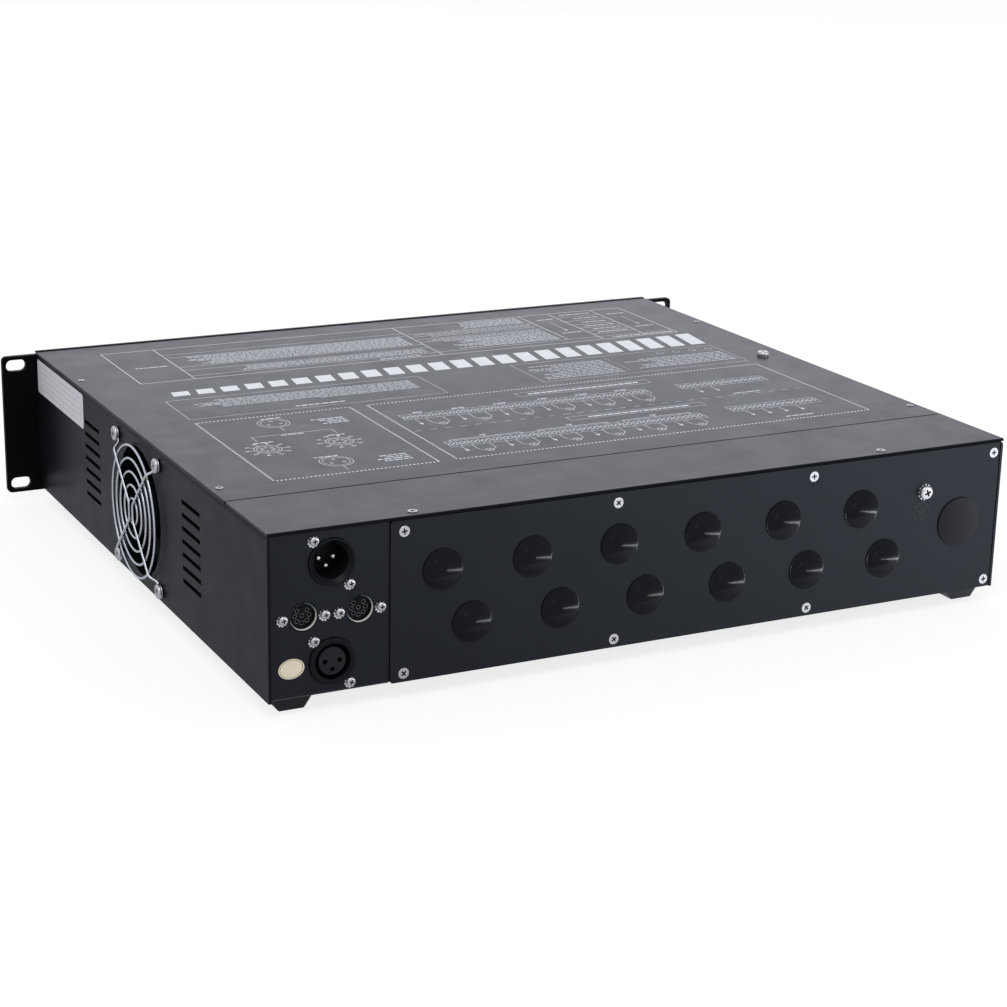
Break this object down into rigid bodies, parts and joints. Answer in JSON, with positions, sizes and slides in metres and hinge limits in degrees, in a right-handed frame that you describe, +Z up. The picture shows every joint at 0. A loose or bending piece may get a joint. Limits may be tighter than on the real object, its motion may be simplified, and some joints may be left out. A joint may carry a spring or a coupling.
{
  "type": "dimmer pack",
  "caption": "Rack dimmer pack: low black steel case with rack ears, rear cable grommets, control sockets, a guarded side fan, circuit breakers and a menu display.",
  "frame": {"origin": "middle of the overall footprint, on the surface that the feet stand on", "axes": "+X towards the side with the fan, +Y towards the rear with the sockets and grommets, +Z up"},
  "size_m": [0.4826, 0.418, 0.0962],
  "materials": {
    "case_black": "satin black powder coat",
    "panel_black": "satin black powder coat",
    "grommet_rubber": "smooth black rubber",
    "black_plastic": "satin black moulding",
    "foot_rubber": "matt black rubber",
    "bright_metal": "bright plated",
    "aluminium": "extruded",
    "laminate_green": "solder mask",
    "winding_copper": "enamelled wire",
    "terminal_green": "moulded",
    "breaker_grey": "moulded",
    "lever_black": "moulded",
    "smoked_window": "clear dark red acrylic"
  },
  "bodies": {
    "case": {"base_tray": "case_black", "side_sheet_fan": "case_black", "side_sheet_plain": "case_black", "top_cover": "case_black", "rear_cover": "case_black", "rear_rail": "case_black", "gland_plate": "case_black", "front_panel": "panel_black", "cable_grommet_1": "grommet_rubber", "cable_grommet_2": "grommet_rubber", "cable_grommet_3": "grommet_rubber", "cable_grommet_4": "grommet_rubber", "cable_grommet_5": "grommet_rubber", "cable_grommet_6": "grommet_rubber", "cable_grommet_7": "grommet_rubber", "cable_grommet_8": "grommet_rubber", "cable_grommet_9": "grommet_rubber", "cable_grommet_10": "grommet_rubber", "cable_grommet_11": "grommet_rubber", "cable_grommet_12": "grommet_rubber", "blanking_plug": "black_plastic", "xlr_inlet": "black_plastic", "xlr_outlet": "black_plastic", "fan_housing": "black_plastic", "foot_1": "foot_rubber", "foot_2": "foot_rubber", "foot_3": "foot_rubber", "foot_4": "foot_rubber", "earth_screw": "bright_metal", "control_socket_a": "bright_metal", "control_socket_b": "bright_metal", "fan_guard": "bright_metal", "heat_sink": "aluminium", "breaker_rail": "aluminium", "power_board": "laminate_green", "control_board": "laminate_green", "display_board": "laminate_green", "choke_board": "winding_copper", "transformer": "winding_copper", "terminal_strip": "terminal_green", "breaker_row_1": "breaker_grey", "breaker_row_2": "breaker_grey", "display_window": "smoked_window"},
    "fan_rotor": {"fan_rotor": "black_plastic"},
    "breaker_lever_1": {"breaker_lever_1": "lever_black"},
    "breaker_lever_2": {"breaker_lever_2": "lever_black"},
    "breaker_lever_3": {"breaker_lever_3": "lever_black"},
    "breaker_lever_4": {"breaker_lever_4": "lever_black"},
    "breaker_lever_5": {"breaker_lever_5": "lever_black"},
    "breaker_lever_6": {"breaker_lever_6": "lever_black"},
    "breaker_lever_7": {"breaker_lever_7": "lever_black"},
    "breaker_lever_8": {"breaker_lever_8": "lever_black"},
    "breaker_lever_9": {"breaker_lever_9": "lever_black"},
    "breaker_lever_10": {"breaker_lever_10": "lever_black"},
    "breaker_lever_11": {"breaker_lever_11": "lever_black"},
    "breaker_lever_12": {"breaker_lever_12": "lever_black"},
    "menu_button_1": {"menu_button_1": "lever_black"},
    "menu_button_2": {"menu_button_2": "lever_black"},
    "menu_button_3": {"menu_button_3": "lever_black"},
    "menu_button_4": {"menu_button_4": "lever_black"}
  },
  "joints": [
    {"name": "fan_spin", "type": "hinge", "parent": "case", "child": "fan_rotor", "pos_m": [0.2056, 0.00794, 0.051], "axis": [1, 0, 0], "continuous": true},
    {"name": "breaker_switch_1", "type": "hinge", "parent": "case", "child": "breaker_lever_1", "pos_m": [-0.0032, -0.19686, 0.0526], "axis": [1, 0, 0], "range_deg": [0, 70]},
    {"name": "breaker_switch_2", "type": "hinge", "parent": "case", "child": "breaker_lever_2", "pos_m": [0.0144, -0.19686, 0.0526], "axis": [1, 0, 0], "range_deg": [0, 70]},
    {"name": "breaker_switch_3", "type": "hinge", "parent": "case", "child": "breaker_lever_3", "pos_m": [0.032, -0.19686, 0.0526], "axis": [1, 0, 0], "range_deg": [0, 70]},
    {"name": "breaker_switch_4", "type": "hinge", "parent": "case", "child": "breaker_lever_4", "pos_m": [0.0496, -0.19686, 0.0526], "axis": [1, 0, 0], "range_deg": [0, 70]},
    {"name": "breaker_switch_5", "type": "hinge", "parent": "case", "child": "breaker_lever_5", "pos_m": [0.0672, -0.19686, 0.0526], "axis": [1, 0, 0], "range_deg": [0, 70]},
    {"name": "breaker_switch_6", "type": "hinge", "parent": "case", "child": "breaker_lever_6", "pos_m": [0.0848, -0.19686, 0.0526], "axis": [1, 0, 0], "range_deg": [0, 70]},
    {"name": "breaker_switch_7", "type": "hinge", "parent": "case", "child": "breaker_lever_7", "pos_m": [0.1068, -0.19686, 0.0526], "axis": [1, 0, 0], "range_deg": [0, 70]},
    {"name": "breaker_switch_8", "type": "hinge", "parent": "case", "child": "breaker_lever_8", "pos_m": [0.1244, -0.19686, 0.0526], "axis": [1, 0, 0], "range_deg": [0, 70]},
    {"name": "breaker_switch_9", "type": "hinge", "parent": "case", "child": "breaker_lever_9", "pos_m": [0.142, -0.19686, 0.0526], "axis": [1, 0, 0], "range_deg": [0, 70]},
    {"name": "breaker_switch_10", "type": "hinge", "parent": "case", "child": "breaker_lever_10", "pos_m": [0.1596, -0.19686, 0.0526], "axis": [1, 0, 0], "range_deg": [0, 70]},
    {"name": "breaker_switch_11", "type": "hinge", "parent": "case", "child": "breaker_lever_11", "pos_m": [0.1772, -0.19686, 0.0526], "axis": [1, 0, 0], "range_deg": [0, 70]},
    {"name": "breaker_switch_12", "type": "hinge", "parent": "case", "child": "breaker_lever_12", "pos_m": [0.1948, -0.19686, 0.0526], "axis": [1, 0, 0], "range_deg": [0, 70]},
    {"name": "menu_press_1", "type": "slide", "parent": "case", "child": "menu_button_1", "axis": [0, 1, 0], "range_m": [0, 0.0012], "stiffness_N_per_m": 400, "springref_m": -0.0005},
    {"name": "menu_press_2", "type": "slide", "parent": "case", "child": "menu_button_2", "axis": [0, 1, 0], "range_m": [0, 0.0012], "stiffness_N_per_m": 400, "springref_m": -0.0005},
    {"name": "menu_press_3", "type": "slide", "parent": "case", "child": "menu_button_3", "axis": [0, 1, 0], "range_m": [0, 0.0012], "stiffness_N_per_m": 400, "springref_m": -0.0005},
    {"name": "menu_press_4", "type": "slide", "parent": "case", "child": "menu_button_4", "axis": [0, 1, 0], "range_m": [0, 0.0012], "stiffness_N_per_m": 400, "springref_m": -0.0005}
  ]
}
